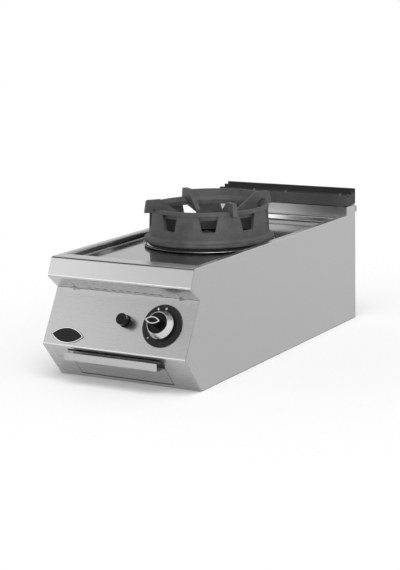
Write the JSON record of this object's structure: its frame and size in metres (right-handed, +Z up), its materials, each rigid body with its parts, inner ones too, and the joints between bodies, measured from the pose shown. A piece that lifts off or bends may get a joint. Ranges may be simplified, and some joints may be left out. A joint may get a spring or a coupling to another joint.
{
  "type": "wok burner",
  "caption": "Counter-top gas wok burner: folded steel body with sloping control panel, notched cast ring with finned trivet, push-turn gas knob, igniter button, drip drawer and rear flue cover.",
  "frame": {"origin": "middle of the four stand bolts, on the plane of the base's underside", "axes": "+X to the right seen from the front, +Y from the control panel to the flue at the back, +Z up"},
  "size_m": [0.4, 0.977, 0.398],
  "materials": {
    "stainless": "scotch-brite brushed stainless sheet",
    "galvanised": "galvanised sheet",
    "zinc_steel": "bright zinc-plated steel",
    "cast_iron": "raw sand-cast, matt",
    "black_enamel": "matt black enamel on a casting",
    "black_plastic": "moulded black phenolic",
    "printed_plate": "black plate with satin gloss",
    "chrome": "bright chrome plating",
    "brass": "machined brass",
    "copper": "drawn copper tube",
    "steel_pipe": "bent steel gas pipe",
    "ceramic": "glazed white ceramic",
    "silicone": "silicone sleeve"
  },
  "bodies": {
    "body": {"left_side_panel": "stainless", "right_side_panel": "stainless", "front_panel": "stainless", "worktop": "stainless", "rear_upstand": "stainless", "base_pan": "galvanised", "back_panel": "galvanised", "left_runner": "galvanised", "right_runner": "galvanised", "burner_bracket": "galvanised", "base_nuts": "zinc_steel", "back_screws": "zinc_steel", "nose_screws": "zinc_steel", "tap_screws": "zinc_steel", "igniter_nut": "zinc_steel", "bracket_screws": "zinc_steel", "air_shutter": "zinc_steel", "inlet_locknut": "zinc_steel", "burner_body": "cast_iron", "igniter_body": "black_plastic", "dial_plate": "printed_plate", "badge_plate": "printed_plate", "tap_body": "brass", "injector_holder": "brass", "injector": "brass", "inlet_nipple": "brass", "feed_pipe": "copper", "thermocouple": "copper", "thermocouple_lead": "copper", "supply_pipe": "steel_pipe", "spark_electrode": "ceramic", "ignition_lead": "silicone"},
    "plunger": {"tap_plunger": "brass"},
    "knob": {"knob_body": "black_plastic", "knob_ring": "chrome", "knob_grip_trim": "chrome", "tap_spindle": "zinc_steel"},
    "button": {"igniter_button": "black_plastic"},
    "drawer": {"drawer_front": "stainless", "drip_tray": "stainless"},
    "ring": {"wok_ring": "cast_iron"},
    "trivet": {"wok_trivet": "cast_iron"},
    "cap": {"burner_cap": "cast_iron"},
    "flue": {"flue_cover": "black_enamel", "flue_screws": "zinc_steel"}
  },
  "joints": [
    {"name": "knob_push", "type": "slide", "parent": "body", "child": "plunger", "axis": [0, 0.873, -0.4877], "range_m": [0, 0.004], "stiffness_N_per_m": 4000, "springref_m": -0.002},
    {"name": "knob_turn", "type": "hinge", "parent": "plunger", "child": "knob", "pos_m": [0.119, -0.42769, 0.15679], "axis": [0, -0.873, 0.4877], "range_deg": [-92, 47]},
    {"name": "button_press", "type": "slide", "parent": "body", "child": "button", "axis": [0, 0.873, -0.4877], "range_m": [0, 0.006], "stiffness_N_per_m": 1500, "springref_m": -0.004},
    {"name": "drawer_slide", "type": "slide", "parent": "body", "child": "drawer", "axis": [0, -1, 0], "range_m": [0, 0.4]},
    {"name": "ring_lift", "type": "slide", "parent": "body", "child": "ring", "axis": [0, 0, 1], "range_m": [0, 0.15]},
    {"name": "trivet_lift", "type": "slide", "parent": "ring", "child": "trivet", "axis": [0, 0, 1], "range_m": [0, 0.12]},
    {"name": "cap_lift", "type": "slide", "parent": "body", "child": "cap", "axis": [0, 0, 1], "range_m": [0, 0.04]},
    {"name": "flue_lift", "type": "slide", "parent": "body", "child": "flue", "axis": [0, 0, 1], "range_m": [0, 0.08]}
  ]
}
